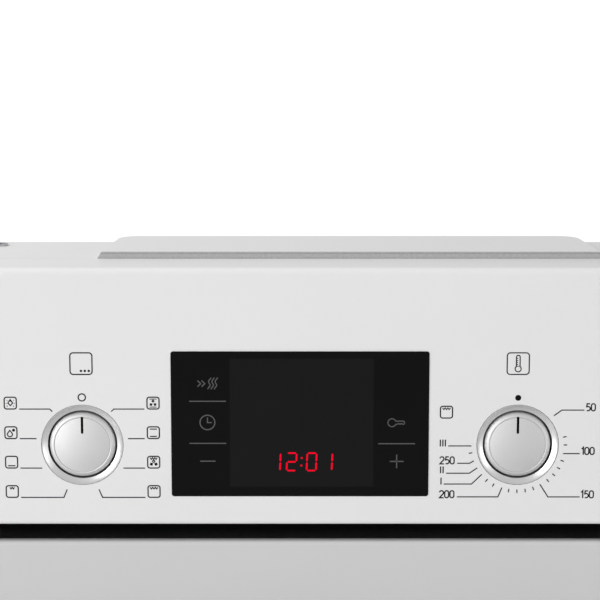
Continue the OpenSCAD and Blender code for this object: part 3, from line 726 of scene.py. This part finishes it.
def vent_front():
    """Painted shade on the front of the vent cover: a grey strip for the face in shade, with a darker
    painted shadow line over its fine slot.
    """
    low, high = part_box("vent_cover")
    height = (high.z - low.z) / MM
    base = Vector(((low.x + high.x) / 2, 0, low.z))
    half = (high.x - low.x) / 2 / MM
    slope = VENT_LEAN / height

    def band(strip, z0, z1):
        left0, left1 = z0 * slope - half, z1 * slope - half
        strip.fill([(left0, z0), (-left0, z0), (-left1, z1), (left1, z1)])

    # Grey bands: painted shade on the cover's front face
    strip = Print(base, low.y, 0.05)
    band(strip, 0.05, height - SHADOW_LINE_LOW)
    band(strip, height - SHADOW_LINE_HIGH, height - 0.12)
    strip.finish("vent_front_shade_strip", VENT_FRONT_SHADE, OVEN)
    # Darker band: a painted shadow line below the cover's top
    shadow_line = Print(base, low.y, 0.03)
    band(shadow_line, height - SHADOW_LINE_LOW, height - SHADOW_LINE_HIGH)
    shadow_line.finish("vent_shadow_line", VENT_SHADOW_LINE, OVEN)


vent_front()


# ---- Display ----

SEGMENTS = {"0": "abcdef", "1": "bc", "2": "abged"}
CLOCK_HEIGHT = 6.6
CLOCK_WIDTH = 3.45
CLOCK_FOOT = -75.3
BAR = 0.62       # width of a segment
BAR_GAP = 0.16   # between two segments
DOT = 0.33       # half the colon dot's side
SLANT = tan(radians(2.5))
KEY_LINE = 0.42


def segment_points(name):
    """A seven-segment bar as a pointed prism outline, from the digit's lower left."""
    w, h, t = CLOCK_WIDTH, CLOCK_HEIGHT, BAR / 2
    across = {"a": h, "g": h / 2, "d": 0.0}
    upright = {"f": (0.0, h / 2, h), "b": (w, h / 2, h), "e": (0.0, 0.0, h / 2), "c": (w, 0.0, h / 2)}
    if name in across:
        z = across[name]
        x0, x1 = BAR_GAP, w - BAR_GAP
        return [(x0, z), (x0 + t, z + t), (x1 - t, z + t), (x1, z), (x1 - t, z - t), (x0 + t, z - t)]
    x, z0, z1 = upright[name]
    z0, z1 = z0 + BAR_GAP, z1 - BAR_GAP
    return [(x, z0), (x + t, z0 + t), (x + t, z1 - t), (x, z1), (x - t, z1 - t), (x - t, z0 + t)]


def display():
    """A painted highlight: a pale rim around the glass, for the bright line a chamfered cut-out would
    catch. Then the screen's paler field, the touch keys' symbols and the clock.
    """
    # Painted highlight: a pale ring in the gap around the glass
    edge = Print(GLASS_MID, PANEL_Y)
    width, height = (glass_high.x - glass_low.x) / MM, (glass_high.z - glass_low.z) / MM
    edge.front, edge.back = PANEL_Y - 0.12 * MM, PANEL_Y + 1.0 * MM
    edge.stroke(rounded(0, 0, width + 0.3, height + 0.3, 1.1), 0.28, closed=True)
    edge.finish("display_rim_highlight", DISPLAY_RIM_HIGHLIGHT, OVEN)

    corner = Vector((0.0, 0.0, PANEL_TOP))
    screen = Print(corner, GLASS_Y, 0.02)
    screen.fill(rounded(0.6, -57.35, 52.7, 48.1, 0.3))
    screen.finish("display_screen", SCREEN, OVEN)

    keys = Print(corner, GLASS_Y, 0.03)
    for x0, x1, u in ((-40.6, -27.1, 49.2), (-40.6, -27.1, 65.03), (28.75, 42.25, 65.15)):
        keys.stroke([(x0, -u), (x1, -u)], FINE)
    for x in (-37.5, -36.0):
        keys.stroke([(x, -41.45), (x + 1.2, -42.6), (x, -43.75)], FINE)
    steps = [t / 16 for t in range(17)]
    for i in range(3):
        wave = [(-32.9 + 1.2 * i + 0.36 * cos(3 * pi * t) - 0.5 * t, -40.3 - 4.4 * t) for t in steps]
        keys.stroke(wave, 0.38)
    keys.stroke(ring_points(-33.95, -57.15, 2.72, 40), KEY_LINE, closed=True)
    keys.stroke([(-33.95, -55.3), (-33.95, -57.2), (-32.35, -57.2)], FINE)
    keys.stroke([(-36.7, -71.75), (-31.1, -71.75)], KEY_LINE)
    keys.stroke([(33.0, -71.85), (38.1, -71.85)], KEY_LINE)
    keys.stroke([(35.55, -69.3), (35.55, -74.4)], KEY_LINE)
    bow = arc(33.75, -57.25, 1.5, 113, 427, 24)
    tip = arc(37.75, -57.25, 0.62, 0, 180, 8)
    teeth = [(37.2, -57.5), (36.7, -57.87), (36.15, -57.5), (35.6, -57.87)]
    keys.stroke(bow + tip + teeth, 0.36, closed=True)
    keys.finish("key_print", KEY_PRINT, OVEN)

    clock = Print(corner, GLASS_Y, 0.04)
    for digit, x in (("1", -10.75), ("2", -4.85), ("0", 2.5), ("1", 8.3)):
        for name in SEGMENTS[digit]:
            clock.fill([(x + px + pz * SLANT - 0.1, CLOCK_FOOT + pz) for px, pz in segment_points(name)])
    for z in (1.9, 4.75):
        x, foot = 0.42 + z * SLANT, CLOCK_FOOT + z
        corners = ((-DOT, -DOT), (DOT, -DOT), (DOT, DOT), (-DOT, DOT))
        clock.fill([(x + px, foot + pz) for px, pz in corners])
    clock.finish("clock_digits", LED, OVEN)


display()


# ---- Camera ----

AXIS_BELOW_TOP = 11.6 * MM
DISTANCE = 806.6 * MM
PITCH = radians(10)
LENS_PER_SENSOR = 3.7
SENSOR = 36.0


def place_camera():
    """Aimed at the panel's front from above, with the camera's middle line on x = 0."""
    target = Vector((0, PANEL_Y, PANEL_TOP - AXIS_BELOW_TOP))
    data = bpy.data.cameras.new("camera")
    data.sensor_width = SENSOR
    data.lens = SENSOR * LENS_PER_SENSOR
    data.clip_start = 0.01
    data.clip_end = 50
    camera = bpy.data.objects.new("camera", data)
    camera.location = target + DISTANCE * Vector((0, -cos(PITCH), sin(PITCH)))
    camera.rotation_euler = (pi / 2 - PITCH, 0, 0)
    bpy.context.scene.collection.objects.link(camera)
    bpy.context.scene.camera = camera


place_camera()


# ---- Floor, light and world ----

FLOOR_HALF = 3.4
FLOOR_DROP = 0.0005
ROOM_LIGHT = 0.6
BACKDROP = 1.05


def place_floor():
    """A plain pale floor just under the oven."""
    bm = bmesh.new()
    bmesh.ops.create_grid(bm, x_segments=1, y_segments=1, size=FLOOR_HALF)
    mesh = bpy.data.meshes.new("floor")
    bm.to_mesh(mesh)
    bm.free()
    floor = bpy.data.objects.new("floor", mesh)
    floor.location = (0, 0, cad_box[0][2] - FLOOR_DROP)
    s = Surface("floor_pale", (0.7, 0.7, 0.7), 0.7)
    s.tint(s.noise(1.5, 2), 0.01)
    mesh.materials.append(s.mat)
    bpy.context.scene.collection.objects.link(floor)


def softbox(name, place, aim, size, power):
    """A rectangular soft light: size in metres, power in watts."""
    data = bpy.data.lights.new(name, "AREA")
    data.shape = "RECTANGLE"
    data.size, data.size_y = size
    data.energy = power
    light = bpy.data.objects.new(name, data)
    light.location = place
    direction = Vector(aim) - Vector(place)
    light.rotation_euler = direction.to_track_quat("-Z", "Y").to_euler()
    bpy.context.scene.collection.objects.link(light)


def light_scene():
    """A white backdrop for the camera, a dimmer even room light, and three soft boxes."""
    world = bpy.data.worlds.new("studio")
    world.use_nodes = True
    tree = world.node_tree
    room = tree.nodes["Background"]
    room.inputs["Color"].default_value = (1, 1, 1, 1)
    room.inputs["Strength"].default_value = ROOM_LIGHT
    backdrop = tree.nodes.new("ShaderNodeBackground")
    backdrop.inputs["Color"].default_value = (1, 1, 1, 1)
    backdrop.inputs["Strength"].default_value = BACKDROP
    path = tree.nodes.new("ShaderNodeLightPath")
    mix = tree.nodes.new("ShaderNodeMixShader")
    tree.links.new(path.outputs["Is Camera Ray"], mix.inputs["Fac"])
    tree.links.new(room.outputs["Background"], mix.inputs[1])
    tree.links.new(backdrop.outputs["Background"], mix.inputs[2])
    tree.links.new(mix.outputs["Shader"], tree.nodes["World Output"].inputs["Surface"])
    bpy.context.scene.world = world
    front = (0, PANEL_Y, PANEL_TOP - 0.05)
    softbox("key_left", (-1.9, -2.4, 0.8), front, (1.4, 2.0), 42.5)
    softbox("key_right", (2.3, -1.9, 0.5), front, (0.9, 1.4), 9)
    softbox("top_left", (-0.75, 0.12, 1.1), (-0.05, 0.02, PANEL_TOP), (0.35, 0.35), 4.2)
    bpy.context.scene.view_settings.view_transform = "Standard"
    bpy.context.scene.view_settings.look = "None"


place_floor()
light_scene()
